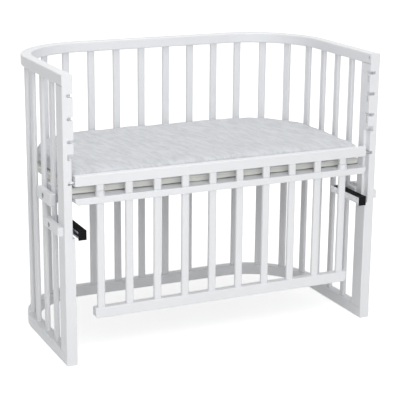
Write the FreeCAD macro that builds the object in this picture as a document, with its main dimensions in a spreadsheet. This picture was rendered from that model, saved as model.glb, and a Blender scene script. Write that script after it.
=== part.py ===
"""Bedside sleeper crib in white-lacquered wood.

A U-shaped slatted frame, open at the front, with a height-adjustable bed base, a mattress,
a closing rail that slides down through the front beam, and two slide bars under the base.
Frame: X runs along the open front, Y to the rounded back, Z up from the floor. The origin is on
the floor at the middle of the crib. All sizes are in millimetres.
"""
import FreeCAD
import Part
import Sketcher
import math
import os

doc = FreeCAD.newDocument("bedside_crib")
sheet = doc.addObject("Spreadsheet::Sheet", "sizes")

SIZES = {
    # Overall frame
    "width": 945.0,
    "depth": 540.0,
    "height": 790.0,
    "corner_radius": 230.0,
    # Laminated rails
    "rail_width": 30.0,
    "top_rail_height": 30.0,
    "bottom_rail_height": 32.0,
    "rail_edge_radius": 3.5,
    # Front posts and their notches
    "post_depth": 50.0,
    "post_edge_radius": 2.0,
    "rebate_width": 8.0,
    "rebate_depth": 21.0,
    "rebate_bottom": 356.0,
    "rebate_top": 566.0,
    "ramp_height": 17.0,
    "notch_reach": 18.0,
    "notch_height": 9.0,
    "notch_depth": 20.0,
    "hook_top": 735.0,
    "hook_pitch": 60.0,
    "hook_drop": 22.0,
    "hook_lead": 4.0,
    # Slats of the frame
    "slat_width": 22.0,
    "slat_thickness": 12.0,
    "slat_edge_radius": 5.0,
    "first_slat_y": 124.5,
    "slat_socket": 10.0,
    # Closing rail
    "closing_axis_y": 12.0,
    "closing_end_gap": 2.5,
    "closing_top_depth": 20.0,
    "closing_top_height": 28.0,
    "closing_top_z": 494.0,
    "closing_bottom_gap": 53.5,
    "closing_bottom_depth": 23.0,
    "closing_bottom_height": 30.0,
    "closing_bottom_z": 124.0,
    "closing_corner_radius": 10.0,
    "closing_end_margin": 20.0,
    "closing_socket": 12.0,
    # Pins that carry the closing rail
    "pin_diameter": 8.0,
    "pin_length": 32.0,
    "pin_inset": 12.0,
    "pin_clearance": 0.5,
    "pin_drop": 10.0,
    # Bed base
    "base_side_gap": 1.5,
    "beam_depth": 60.0,
    "beam_thickness": 18.5,
    "beam_z": 443.5,
    "beam_corner_radius": 13.0,
    "beam_hole_gap": 1.0,
    "collar_height": 14.0,
    "collar_base_radius": 14.0,
    "collar_top_radius": 12.6,
    "panel_thickness": 18.0,
    "panel_front": 46.0,
    "vent_width": 12.0,
    "vent_length": 240.0,
    "mattress_front_gap": 2.0,
    "mattress_side_gap": 4.5,
    "mattress_thickness": 42.0,
    "mattress_crown": 5.0,
    "mattress_edge": 11.0,
    # Clamp blocks of the bed base
    "base_clamp_lead": 30.5,
    "base_clamp_bite": 8.0,
    "base_outer_thickness": 16.0,
    "base_outer_height": 33.5,
    "base_outer_drop": 22.0,
    "base_inner_thickness": 20.0,
    "base_inner_height": 38.0,
    "base_screw_lead": 32.5,
    # Clamp blocks of the slide bars
    "bar_clamp_front": 10.0,
    "bar_clamp_bite": 12.5,
    "bar_screw_lead": 28.5,
    "bar_outer_thickness": 15.0,
    "bar_outer_height": 24.0,
    "bar_clamp_z": 364.0,
    "bar_inner_thickness": 13.0,
    "bar_inner_skirt": 8.0,
    "bar_inner_gap": 0.5,
    # Slide bars
    "bar_width": 22.0,
    "bar_height": 19.0,
    "bar_wall": 2.0,
    "bar_slot": 9.0,
    "bar_drop": 7.0,
    "bar_overhang": 9.0,
    "bar_length": 157.0,
    "bar_gap": 0.5,
    "cover_thickness": 3.0,
    "cover_setback": 18.0,
    "hook_plate_height": 26.0,
    # Screws, dowels and cams
    "screw_diameter": 8.0,
    "screw_head_diameter": 14.0,
    "screw_head_height": 6.0,
    "screw_recess": 8.0,
    "screw_bite": 11.0,
    "dowel_diameter": 10.0,
    "dowel_length": 40.0,
    "post_dowel_y": 32.0,
    "cam_diameter": 10.0,
    "cam_depth": 12.0,
    "cam_recess": 3.0,
    "cam_y": 11.0,
    "cam_below_top": 12.0,
    # Small edge rounding on blocks and boards
    "block_edge": 2.0,
}

FRAME_SLATS = 20
CLOSING_SLATS = 10
HOOKS = 3
VENTS = 9


class Dim:
    """A length that carries its number and the sheet expression that gives it."""

    def __init__(self, number, text):
        self.number = number
        self.text = text

    def joined(self, other, sign, number):
        """Return a new length made from this one and another one or a plain number."""
        text = other.text if isinstance(other, Dim) else repr(float(other))
        return Dim(number, "(" + self.text + " " + sign + " " + text + ")")

    def __add__(self, other):
        return self.joined(other, "+", self.number + plain(other))

    def __sub__(self, other):
        return self.joined(other, "-", self.number - plain(other))

    def __mul__(self, other):
        return self.joined(other, "*", self.number * plain(other))

    def __truediv__(self, other):
        return self.joined(other, "/", self.number / plain(other))

    def __neg__(self):
        return Dim(-self.number, "(0 - " + self.text + ")")


def plain(value):
    """Return the number of a length or of a plain number."""
    return value.number if isinstance(value, Dim) else float(value)


def fill_sheet():
    """Write every driving size to the sheet under its own alias."""
    for row, (alias, value) in enumerate(SIZES.items(), start=1):
        sheet.set("A%d" % row, alias)
        sheet.set("B%d" % row, str(value))
        sheet.setAlias("B%d" % row, alias)
    doc.recompute()


def size(alias):
    """Return a driving size."""
    return Dim(SIZES[alias], "sizes." + alias)


ZERO = Dim(0.0, "0")


def bind(item, path, value):
    """Set a property of an object to a length and keep it bound to the sheet."""
    if isinstance(value, Dim):
        item.setExpression(path, value.text)


def origin_plane(body, role):
    """Return one of the origin planes of a body."""
    for feature in body.Origin.OriginFeatures:
        if feature.Role == role:
            return feature
    raise RuntimeError("no plane " + role)


def new_sketch(body, name, role):
    """Return an empty sketch attached to an origin plane of its body."""
    sketch = body.newObject("Sketcher::SketchObject", name)
    sketch.AttachmentSupport = [(origin_plane(body, role), "")]
    sketch.MapMode = "FlatFace"
    return sketch


def pin_point(sketch, geometry, position, point, axes):
    """Fix one point of a sketch to its lengths from the origin."""
    for axis, kind, value in zip("xy", ("DistanceX", "DistanceY"), point):
        if axis not in axes:
            continue
        index = sketch.addConstraint(
            Sketcher.Constraint(kind, -1, 1, geometry, position, plain(value))
        )
        if isinstance(value, Dim):
            sketch.setExpression("Constraints[%d]" % index, value.text)


def outline(sketch, steps):
    """Draw a closed outline of straight and round steps.

    Each step is (kind, start, centre). The step ends where the next one starts. A round step
    also has the centre of its quarter circle.
    """
    count = len(steps)
    for number, (kind, start, centre) in enumerate(steps):
        end = steps[(number + 1) % count][1]
        first = FreeCAD.Vector(plain(start[0]), plain(start[1]), 0)
        last = FreeCAD.Vector(plain(end[0]), plain(end[1]), 0)
        if kind == "line":
            sketch.addGeometry(Part.LineSegment(first, last), False)
            continue
        middle = FreeCAD.Vector(plain(centre[0]), plain(centre[1]), 0)
        from_centre = first - middle
        to_centre = last - middle
        if from_centre.cross(to_centre).z < 0:
            from_centre, to_centre = to_centre, from_centre
        begin = math.atan2(from_centre.y, from_centre.x)
        circle = Part.Circle(middle, FreeCAD.Vector(0, 0, 1), from_centre.Length)
        sketch.addGeometry(Part.ArcOfCircle(circle, begin, begin + math.pi / 2), False)
    for number, (kind, start, centre) in enumerate(steps):
        geometry = sketch.Geometry[number]
        following = (number + 1) % count
        first = FreeCAD.Vector(plain(start[0]), plain(start[1]), 0)
        begins = 1 if geometry.StartPoint.distanceToPoint(first) < 1e-6 else 2
        next_start = FreeCAD.Vector(
            plain(steps[following][1][0]), plain(steps[following][1][1]), 0
        )
        next_geometry = sketch.Geometry[following]
        next_begins = 1 if next_geometry.StartPoint.distanceToPoint(next_start) < 1e-6 else 2
        sketch.addConstraint(
            Sketcher.Constraint("Coincident", number, 3 - begins, following, next_begins)
        )
        pin_point(sketch, number, begins, start, free_axes(steps, number))
        if kind == "arc":
            pin_point(sketch, number, 3, centre, "xy")


def free_axes(steps, number):
    """Return which lengths of a corner are set by hand: the end of a round step keeps one free."""
    before = steps[number - 1]
    if before[0] != "arc":
        return "xy"
    begin = before[1]
    centre = before[2]
    level = abs(plain(begin[1]) - plain(centre[1])) < 1e-6
    return "x" if level else "y"


def box_outline(low, high):
    """Return the outline of a rectangle."""
    return [
        ("line", (low[0], low[1]), None),
        ("line", (high[0], low[1]), None),
        ("line", (high[0], high[1]), None),
        ("line", (low[0], high[1]), None),
    ]


def pad(body, sketch, length):
    """Extrude a sketch away from its plane."""
    feature = body.newObject("PartDesign::Pad", body.Name + "_pad")
    feature.Profile = sketch
    feature.Length = plain(length)
    bind(feature, "Length", length)
    sketch.Visibility = False
    doc.recompute()
    return feature


def round_edges(body, base, radius, chosen):
    """Round the edges of the last feature that the given test picks."""
    names = [
        "Edge%d" % (number + 1)
        for number, edge in enumerate(base.Shape.Edges)
        if chosen(edge)
    ]
    feature = body.newObject("PartDesign::Fillet", body.Name + "_round")
    feature.Base = (base, names)
    feature.Radius = plain(radius)
    bind(feature, "Radius", radius)
    doc.recompute()
    return feature


def upright(edge):
    """Tell whether an edge is straight and vertical."""
    ends = [vertex.Point for vertex in edge.Vertexes]
    if len(ends) < 2:
        return False
    run = ends[1] - ends[0]
    return abs(run.x) < 1e-6 and abs(run.y) < 1e-6


def level(edge):
    """Tell whether all of an edge lies at one height."""
    box = edge.BoundBox
    return box.ZLength < 1e-6


def put(item, x, y, z, turn=0.0, axis=FreeCAD.Vector(0, 0, 1)):
    """Place an object by lengths from the middle of the posts' front faces, at floor level."""
    point = (x, front + y, z)
    item.Placement = FreeCAD.Placement(
        FreeCAD.Vector(*[plain(value) for value in point]), FreeCAD.Rotation(axis, turn)
    )
    for name, value in zip("xyz", point):
        bind(item, "Placement.Base." + name, value)


def plate(label, low, high, bottom, height):
    """Return a body that is an upright block with a rectangular plan."""
    body = doc.addObject("PartDesign::Body", label)
    sketch = new_sketch(body, label + "_plan", "XY_Plane")
    outline(sketch, box_outline(low, high))
    feature = pad(body, sketch, height)
    put(body, 0, 0, bottom)
    return body, feature


def keel_board(label, end, y, bottom, lengths, radius):
    """Return a board along X, centred on the crib, with its lower end corners rounded."""
    deep, high = lengths
    body = doc.addObject("PartDesign::Body", label)
    sketch = new_sketch(body, label + "_face", "XZ_Plane")
    inside = end - radius
    outline(
        sketch,
        [
            ("line", (-inside, ZERO), None),
            ("arc", (inside, ZERO), (inside, radius)),
            ("line", (end, radius), None),
            ("line", (end, high), None),
            ("line", (-end, high), None),
            ("arc", (-end, radius), (-inside, radius)),
        ],
    )
    feature = pad(body, sketch, deep)
    feature.Reversed = True
    put(body, 0, y, bottom)
    doc.recompute()
    return body, feature


def box(label, corner, lengths):
    """Return a box primitive bound to the sheet."""
    item = doc.addObject("Part::Box", label)
    for name, length in zip(("Length", "Width", "Height"), lengths):
        setattr(item, name, plain(length))
        bind(item, name, length)
    put(item, *corner)
    return item


def rod(label, start, axis, radius, length):
    """Return a cylinder primitive from a start point along X, Y or Z."""
    turns = {
        "x": (FreeCAD.Vector(0, 1, 0), 90.0),
        "y": (FreeCAD.Vector(1, 0, 0), -90.0),
        "z": (FreeCAD.Vector(0, 0, 1), 0.0),
    }
    item = doc.addObject("Part::Cylinder", label)
    item.Radius = plain(radius)
    item.Height = plain(length)
    bind(item, "Radius", radius)
    bind(item, "Height", length)
    about, turn = turns[axis]
    put(item, start[0], start[1], start[2], turn, about)
    return item


def group(label, members):
    """Return one object that holds several separate solids."""
    item = doc.addObject("Part::Compound", label)
    item.Links = members
    doc.recompute()
    return item


def fused(label, members):
    """Return the union of several objects."""
    item = doc.addObject("Part::MultiFuse", label)
    item.Shapes = members
    doc.recompute()
    return item


def cut(label, base, tools):
    """Return an object with a set of tools cut out of it."""
    tool = tools[0] if len(tools) == 1 else group(label + "_tools", tools)
    item = doc.addObject("Part::Cut", label)
    item.Base = base
    item.Tool = tool
    doc.recompute()
    return item


def mirrored(label, source):
    """Return the mirror image of an object across the middle of the crib."""
    item = doc.addObject("Part::Mirroring", label)
    item.Source = source
    item.Base = FreeCAD.Vector(0, 0, 0)
    item.Normal = FreeCAD.Vector(1, 0, 0)
    doc.recompute()
    return item


fill_sheet()

width = size("width")
depth = size("depth")
height = size("height")
corner = size("corner_radius")
rail = size("rail_width")
top_rail = size("top_rail_height")
bottom_rail = size("bottom_rail_height")
post_depth = size("post_depth")
slat_width = size("slat_width")
slat_thickness = size("slat_thickness")
socket = size("slat_socket")
axis_y = size("closing_axis_y")
pin_radius = size("pin_diameter") / 2
edge = size("block_edge")

half = width / 2
inner_face = half - rail
slat_outer_face = half - rail / 2 + slat_thickness / 2
slat_inner_face = half - rail / 2 - slat_thickness / 2
top_rail_z = height - top_rail
bar_start = -size("bar_overhang")
front = -(depth + bar_start - size("cover_thickness")) / 2

kept = []


def keep(item, label):
    """Record a finished piece under its node name."""
    item.Label = label
    kept.append(item)
    return item


# Frame slats: flat rounded bars, evenly spaced along the middle line of the U.
straight = depth.number - corner.number
turn_radius = corner.number - rail.number / 2
arc_length = math.pi / 2 * turn_radius
back_length = width.number - 2 * corner.number
path_length = 2 * straight + 2 * arc_length + back_length


def path_point(distance):
    """Return x, y and heading in degrees at a distance along the U, from the left front."""
    if distance > path_length / 2:
        x, y, heading = path_point(path_length - distance)
        return -x, y, -heading
    if distance < straight:
        return rail.number / 2 - half.number, distance, 90.0
    angle = (distance - straight) / turn_radius
    if angle < math.pi / 2:
        x = corner.number - half.number - turn_radius * math.cos(angle)
        y = straight + turn_radius * math.sin(angle)
        return x, y, 90.0 - math.degrees(angle)
    x = corner.number - half.number + distance - straight - arc_length
    return x, depth.number - rail.number / 2, 0.0


def slat(label, length):
    """Return a flat bar with rounded sides, standing on its lower end."""
    body = doc.addObject("PartDesign::Body", label)
    sketch = new_sketch(body, label + "_section", "XY_Plane")
    outline(
        sketch,
        box_outline(
            (-slat_width / 2, -slat_thickness / 2), (slat_width / 2, slat_thickness / 2)
        ),
    )
    feature = pad(body, sketch, length)
    round_edges(body, feature, size("slat_edge_radius"), upright)
    return body


first_slat = size("first_slat_y")
slat_pitch = (path_length - 2 * first_slat.number) / (FRAME_SLATS - 1)
slat_bottom = bottom_rail - socket
slat_length = top_rail_z + socket - slat_bottom
frame_slats = []
for number in range(FRAME_SLATS):
    bar = slat("frame_slat_%02d" % (number + 1), slat_length)
    x, y, heading = path_point(first_slat.number + number * slat_pitch)
    put(bar, x, y, slat_bottom, heading)
    frame_slats.append(keep(bar, "frame_slat_%02d" % (number + 1)))
doc.recompute()

# Dowels hidden in the seams of the rails and in the ends of the posts.
dowel_radius = size("dowel_diameter") / 2
dowel_length = size("dowel_length")
seam_x = half - corner
seam_y = depth - rail / 2
rail_levels = {"bottom": bottom_rail / 2, "top": top_rail_z + top_rail / 2}
dowels = []
for name, level_z in rail_levels.items():
    for side, sign in (("left", -1), ("right", 1)):
        middle = seam_x * sign
        dowels.append(
            rod(
                "seam_dowel_" + name + "_" + side,
                (middle - dowel_length / 2, seam_y, level_z),
                "x",
                dowel_radius,
                dowel_length,
            )
        )
for name, level_z in (("bottom", bottom_rail), ("top", top_rail_z)):
    for side, sign in (("left", -1), ("right", 1)):
        dowels.append(
            rod(
                "post_dowel_" + name + "_" + side,
                ((half - rail / 2) * sign, size("post_dowel_y"), level_z - dowel_length / 2),
                "z",
                dowel_radius,
                dowel_length,
            )
        )
keep(group("frame_dowels", dowels), "frame_dowels")

# Cam discs that pull the top rail down on the posts, set a little below the wood.
cam_z = height - size("cam_below_top")
cam_radius = size("cam_diameter") / 2
cam_back = inner_face + size("cam_depth")
cam_thickness = size("cam_depth") - size("cam_recess")
cam_left = rod("cam_left", (-cam_back, size("cam_y"), cam_z), "x", cam_radius, cam_thickness)
cam_right = rod(
    "cam_right", (cam_back - cam_thickness, size("cam_y"), cam_z), "x", cam_radius, cam_thickness
)
cam_hole = rod(
    "cam_hole", (-cam_back, size("cam_y"), cam_z), "x", cam_radius, size("cam_depth")
)
keep(group("rail_cams", [cam_left, cam_right]), "rail_cams")


# Rails: a corner piece on each side and a straight piece at the back, top and bottom.
def corner_rail(label, bottom, thickness):
    """Return the blank of a left corner piece: straight at the side, then a quarter turn."""
    centre = (corner - half, depth - corner)
    body = doc.addObject("PartDesign::Body", label)
    sketch = new_sketch(body, label + "_plan", "XY_Plane")
    outline(
        sketch,
        [
            ("line", (-half, ZERO), None),
            ("arc", (-half, depth - corner), centre),
            ("line", (corner - half, depth), None),
            ("arc", (corner - half, depth - rail), centre),
            ("line", (rail - half, depth - corner), None),
            ("line", (rail - half, ZERO), None),
        ],
    )
    feature = pad(body, sketch, thickness)
    round_edges(body, feature, size("rail_edge_radius"), long_edge)
    put(body, 0, 0, bottom)
    return body


def long_edge(candidate):
    """Tell whether an edge runs along a rail."""
    return level(candidate) and candidate.Length > 1.5 * rail.number


for name, bottom, thickness in (
    ("bottom", ZERO, bottom_rail),
    ("top", top_rail_z, top_rail),
):
    blank = corner_rail(name + "_corner_blank", bottom, thickness)
    tools = frame_slats + [
        piece for piece in dowels if name in piece.Name and "left" in piece.Name
    ]
    if name == "top":
        tools = tools + [cam_hole]
    left = keep(cut(name + "_rail_left", blank, tools), name + "_rail_left")
    keep(mirrored(name + "_rail_right", left), name + "_rail_right")
    body, feature = plate(
        name + "_back_blank", (-seam_x, depth - rail), (seam_x, depth), bottom, thickness
    )
    round_edges(body, feature, size("rail_edge_radius"), long_edge)
    tools = frame_slats + [piece for piece in dowels if "seam_dowel_" + name in piece.Name]
    keep(cut(name + "_rail_back", body, tools), name + "_rail_back")

# Front posts: a rebate on the inner front edge, a ramp over it, one low seat and three hooks.
body, feature = plate(
    "post_blank", (-half, ZERO), (-inner_face, post_depth), bottom_rail, top_rail_z - bottom_rail
)
round_edges(body, feature, size("post_edge_radius"), upright)
rebate_width = size("rebate_width")
rebate_depth = size("rebate_depth")
rebate_bottom = size("rebate_bottom")
rebate_top = size("rebate_top")
reach = size("notch_reach")
notch = size("notch_height")
notch_depth = size("notch_depth")
pin_z = size("closing_top_z") + size("pin_drop")
cuts = [
    box(
        "rebate",
        (-inner_face - rebate_width, ZERO, rebate_bottom),
        (rebate_width, rebate_depth, rebate_top - rebate_bottom),
    ),
    box(
        "low_seat",
        (-inner_face - reach, ZERO, pin_z - pin_radius),
        (reach, axis_y, notch),
    ),
    rod(
        "low_seat_end",
        (-inner_face - reach, axis_y, pin_z - pin_radius + notch / 2),
        "x",
        notch / 2,
        reach,
    ),
]
ramp = doc.addObject("PartDesign::Body", "ramp")
sketch = new_sketch(ramp, "ramp_side", "YZ_Plane")
outline(
    sketch,
    [
        ("line", (ZERO, rebate_top), None),
        ("line", (rebate_depth, rebate_top), None),
        ("line", (ZERO, rebate_top + size("ramp_height")), None),
    ],
)
pad(ramp, sketch, reach)
put(ramp, -inner_face - reach, 0, 0)
cuts.append(ramp)
for number in range(HOOKS):
    level_z = size("hook_top") - size("hook_pitch") * number
    seat_z = level_z - size("hook_drop")
    seat_y = notch_depth - notch / 2 - size("hook_lead")
    name = "hook_%d_" % (number + 1)
    end_x = notch / 2 - inner_face - reach
    channel = doc.addObject("PartDesign::Body", name + "channel")
    sketch = new_sketch(channel, name + "channel_side", "YZ_Plane")
    outline(
        sketch,
        [
            ("line", (ZERO, level_z - notch / 2), None),
            ("line", (notch_depth - notch, level_z - notch / 2), None),
            ("line", (seat_y - notch / 2, seat_z), None),
            ("line", (seat_y + notch / 2, seat_z), None),
            ("line", (notch_depth, level_z - notch / 2), None),
            ("line", (notch_depth, level_z + notch / 2), None),
            ("line", (ZERO, level_z + notch / 2), None),
        ],
    )
    pad(channel, sketch, reach - notch / 2)
    put(channel, end_x, 0, 0)
    cuts.append(channel)
    cuts.append(rod(name + "end", (end_x, ZERO, level_z), "y", notch / 2, notch_depth))
    cuts.append(rod(name + "seat", (end_x, seat_y, seat_z), "x", notch / 2, reach - notch / 2))
doc.recompute()
post_tools = [fused("post_notches", cuts)]
post_tools = post_tools + [piece for piece in dowels if "post_dowel" in piece.Name]
post = keep(cut("front_post_left", body, post_tools), "front_post_left")
keep(mirrored("front_post_right", post), "front_post_right")

# Pins in the low seats, which the ends of the closing rail stand on.
rail_end = inner_face - size("closing_end_gap")
pin_start = rail_end - size("pin_inset")
pins = [
    rod(
        "pin_left",
        (-pin_start - size("pin_length"), axis_y, pin_z),
        "x",
        pin_radius,
        size("pin_length"),
    ),
    rod("pin_right", (pin_start, axis_y, pin_z), "x", pin_radius, size("pin_length")),
]
keep(group("rail_pins", pins), "rail_pins")

# Closing rail: a top board, a lower board and ten flat bars between them.
closing_top_z = size("closing_top_z")
closing_top_depth = size("closing_top_depth")
closing_bottom_z = size("closing_bottom_z")
closing_bottom_top = closing_bottom_z + size("closing_bottom_height")
closing_socket = size("closing_socket")
lower_end = inner_face - size("closing_bottom_gap")
closing_pitch = (lower_end - size("closing_end_margin")) * 2 / (CLOSING_SLATS - 1)
closing_slats = []
closing_bar_z = closing_bottom_top - closing_socket
closing_bar_length = closing_top_z + closing_socket - closing_bar_z
for number in range(CLOSING_SLATS):
    label = "closing_slat_%02d" % (number + 1)
    bar = slat(label, closing_bar_length)
    offset = closing_pitch * (number - (CLOSING_SLATS - 1) / 2)
    put(bar, offset, axis_y, closing_bar_z)
    closing_slats.append(keep(bar, label))
doc.recompute()

body, feature = plate(
    "closing_top_blank",
    (-rail_end, axis_y - closing_top_depth / 2),
    (rail_end, axis_y + closing_top_depth / 2),
    closing_top_z,
    size("closing_top_height"),
)
round_edges(body, feature, edge, lambda item: level(item) and item.Length > 2 * rail.number)
slot_half = pin_radius + size("pin_clearance") / 2
slots = []
for side, start in (("left", -rail_end), ("right", pin_start)):
    slots.append(
        box(
            "pin_slot_" + side,
            (start, axis_y - slot_half, closing_top_z - edge),
            (size("pin_inset"), slot_half * 2, pin_z + pin_radius - slot_half - closing_top_z + edge),
        )
    )
    slots.append(
        rod(
            "pin_slot_end_" + side,
            (start, axis_y, pin_z + pin_radius - slot_half),
            "x",
            slot_half,
            size("pin_inset"),
        )
    )
keep(cut("closing_rail_top", body, closing_slats + slots), "closing_rail_top")

closing_bottom_depth = size("closing_bottom_depth")
body, feature = keel_board(
    "closing_bottom_blank",
    lower_end,
    axis_y - closing_bottom_depth / 2,
    closing_bottom_z,
    (closing_bottom_depth, size("closing_bottom_height")),
    size("closing_corner_radius"),
)
round_edges(body, feature, edge, lambda item: True)
keep(cut("closing_rail_bottom", body, closing_slats), "closing_rail_bottom")


# Front beam of the bed base: the closing rail's bars pass through its ten holes.
def guide_hole(label, offset, bottom, length):
    """Return the tool for a hole that a bar of the closing rail slides in."""
    gap = size("beam_hole_gap")
    body = doc.addObject("PartDesign::Body", label)
    sketch = new_sketch(body, label + "_section", "XY_Plane")
    side = slat_width / 2 + gap
    front = slat_thickness / 2 + gap
    outline(sketch, box_outline((-side, -front), (side, front)))
    feature = pad(body, sketch, length)
    round_edges(body, feature, size("slat_edge_radius") + gap, upright)
    put(body, offset, axis_y, bottom)
    return body


beam_z = size("beam_z")
beam_thickness = size("beam_thickness")
beam_top = beam_z + beam_thickness
beam_end = inner_face - size("base_side_gap")
beam, feature = keel_board(
    "front_beam_blank",
    beam_end,
    ZERO,
    beam_z,
    (size("beam_depth"), beam_thickness),
    size("beam_corner_radius"),
)
round_edges(
    beam,
    feature,
    edge,
    lambda item: level(item) and item.Length > 2 * rail.number and item.BoundBox.YMin < 1,
)
holes = []
for number in range(CLOSING_SLATS):
    offset = closing_pitch * (number - (CLOSING_SLATS - 1) / 2)
    holes.append(
        guide_hole("beam_hole_%02d" % (number + 1), offset, beam_z - edge, beam_thickness + edge * 2)
    )
keep(cut("front_beam", beam, holes), "front_beam")

# Flared collars on the beam around the first and last bar.
collars = []
for side, number in (("left", 0), ("right", CLOSING_SLATS - 1)):
    offset = closing_pitch * (number - (CLOSING_SLATS - 1) / 2)
    cone = doc.addObject("Part::Cone", "collar_cone_" + side)
    cone.Radius1 = plain(size("collar_base_radius"))
    cone.Radius2 = plain(size("collar_top_radius"))
    cone.Height = plain(size("collar_height"))
    bind(cone, "Radius1", size("collar_base_radius"))
    bind(cone, "Radius2", size("collar_top_radius"))
    bind(cone, "Height", size("collar_height"))
    put(cone, offset, axis_y, beam_top)
    bore = guide_hole(
        "collar_bore_" + side, offset, beam_top - edge, size("collar_height") + edge * 2
    )
    collars.append(cut("collar_" + side, cone, [bore]))
keep(group("slat_collars", collars), "slat_collars")


# Bed base panel and mattress: both follow the inside of the U.
def cot_shape(body, name, near, gap):
    """Draw the U-shaped plan of a board or mattress that lies inside the frame."""
    side = inner_face - gap
    back = depth - rail - gap
    middle = half - corner
    level_y = depth - corner
    sketch = new_sketch(body, name, "XY_Plane")
    outline(
        sketch,
        [
            ("line", (-side, near), None),
            ("line", (side, near), None),
            ("arc", (side, level_y), (middle, level_y)),
            ("line", (middle, back), None),
            ("arc", (-middle, back), (-middle, level_y)),
            ("line", (-side, level_y), None),
        ],
    )
    return sketch


panel_thickness = size("panel_thickness")
panel = doc.addObject("PartDesign::Body", "base_panel_blank")
sketch = cot_shape(panel, "panel_plan", size("panel_front"), size("base_side_gap"))
feature = pad(panel, sketch, panel_thickness)
round_edges(panel, feature, edge, level)
put(panel, 0, 0, beam_top)
vents = []
vent_width = size("vent_width")
vent_length = size("vent_length")
vent_front = (size("panel_front") + depth - rail - size("base_side_gap") - vent_length) / 2
for number in range(VENTS):
    offset = closing_pitch * (number - (VENTS - 1) / 2)
    vents.append(
        box(
            "vent_%d" % (number + 1),
            (offset - vent_width / 2, vent_front, beam_top - edge),
            (vent_width, vent_length, panel_thickness + edge * 2),
        )
    )
keep(cut("base_panel", panel, vents), "base_panel")

mattress_bottom = beam_top + panel_thickness
mattress_thickness = size("mattress_thickness")
crown = size("mattress_crown")
mattress = doc.addObject("PartDesign::Body", "mattress_blank")
mattress_front = axis_y + closing_top_depth / 2 + size("mattress_front_gap")
sketch = cot_shape(mattress, "mattress_plan", mattress_front, size("mattress_side_gap"))
pad(mattress, sketch, mattress_thickness + crown)
put(mattress, 0, 0, mattress_bottom)
dome_radius = half * half / crown / 2
dome = doc.addObject("Part::Sphere", "mattress_dome")
dome.Radius = plain(dome_radius)
bind(dome, "Radius", dome_radius)
mattress_back = depth - rail - size("mattress_side_gap")
put(
    dome,
    0,
    (mattress_front + mattress_back) / 2,
    mattress_bottom + mattress_thickness + crown - dome_radius,
)
soft = doc.addObject("Part::Common", "mattress_block")
soft.Base = mattress
soft.Tool = dome
doc.recompute()
pillow = doc.addObject("Part::Fillet", "mattress")
pillow.Base = soft
mattress_edge = SIZES["mattress_edge"]
pillow.Edges = [
    (number + 1, mattress_edge, mattress_edge)
    for number, item in enumerate(soft.Shape.Edges)
    if not upright(item)
]
doc.recompute()
keep(pillow, "mattress")


# Clamps: blocks on both sides of the slats, drawn together by a screw between two slats.
def screw(label, head_face, y, z, tip):
    """Return a screw along +X with a round head, as one solid."""
    head = size("screw_head_height")
    return fused(
        label,
        [
            rod(label + "_head", (head_face, y, z), "x", size("screw_head_diameter") / 2, head),
            rod(
                label + "_shank",
                (head_face, y, z),
                "x",
                size("screw_diameter") / 2,
                tip - head_face,
            ),
        ],
    )


def block(label, low, high, bottom, thickness):
    """Return a wooden block with rounded edges."""
    body, feature = plate(label, low, high, bottom, thickness)
    round_edges(body, feature, edge, lambda item: True)
    return body


next_slat = Dim(slat_pitch, repr(slat_pitch)) + first_slat
base_front = first_slat - size("base_clamp_lead")
base_back = next_slat - slat_width / 2 + size("base_clamp_bite")
base_screw_y = first_slat + size("base_screw_lead")
base_outer = slat_outer_face + size("base_outer_thickness")
base_inner = slat_inner_face - size("base_inner_thickness")
base_inner_z = beam_top - size("base_inner_height")
base_outer_z = beam_z - size("base_outer_drop")
base_screw_z = base_outer_z + size("base_outer_height") / 2
base_head = size("screw_recess") - size("screw_head_height") - base_outer
base_tip = size("screw_bite") - slat_inner_face
base_screw = screw("base_screw_left", base_head, base_screw_y, base_screw_z, base_tip)
recess_radius = size("screw_head_diameter") / 2 + size("pin_clearance")
base_recess = rod(
    "base_recess",
    (-base_outer, base_screw_y, base_screw_z),
    "x",
    recess_radius,
    size("screw_recess"),
)
outer = block(
    "base_outer_blank",
    (-base_outer, base_front),
    (-slat_outer_face, base_back),
    base_outer_z,
    size("base_outer_height"),
)
outer_left = cut("base_outer_left", outer, [fused("base_bore", [base_recess, base_screw])])
outer_pair = [outer_left, mirrored("base_outer_right", outer_left)]
keep(group("base_clamp_outer", outer_pair), "base_clamp_outer")
inner = block(
    "base_inner_blank",
    (-slat_inner_face, base_front),
    (-base_inner, base_back),
    base_inner_z,
    size("base_inner_height"),
)
inner_left = cut("base_inner_left", inner, [base_screw])
inner_pair = [inner_left, mirrored("base_inner_right", inner_left)]
keep(group("base_clamp_inner", inner_pair), "base_clamp_inner")
screw_pair = [base_screw, mirrored("base_screw_right", base_screw)]
keep(group("base_clamp_screws", screw_pair), "base_clamp_screws")

# Slide-bar clamps: the outer block stands on the post and steps in to reach the first slat.
bar_front = size("bar_clamp_front")
first_edge = first_slat - slat_width / 2
bar_back = first_edge + size("bar_clamp_bite")
bar_screw_y = first_edge - size("bar_screw_lead")
bar_outer = half + size("bar_outer_thickness")
bar_outer_z = size("bar_clamp_z")
bar_screw_z = bar_outer_z + size("bar_outer_height") / 2
bar_head = size("screw_recess") - size("screw_head_height") - bar_outer
bar_tip = size("screw_bite") - slat_inner_face
bar_screw = screw("bar_screw_left", bar_head, bar_screw_y, bar_screw_z, bar_tip)
bar_recess = rod(
    "bar_recess",
    (-bar_outer, bar_screw_y, bar_screw_z),
    "x",
    recess_radius,
    size("screw_recess"),
)
stepped = doc.addObject("PartDesign::Body", "bar_outer_blank")
sketch = new_sketch(stepped, "bar_outer_plan", "XY_Plane")
outline(
    sketch,
    [
        ("line", (-bar_outer, bar_front), None),
        ("line", (-half, bar_front), None),
        ("line", (-half, first_edge), None),
        ("line", (-slat_outer_face, first_edge), None),
        ("line", (-slat_outer_face, bar_back), None),
        ("line", (-bar_outer, bar_back), None),
    ],
)
feature = pad(stepped, sketch, size("bar_outer_height"))
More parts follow.
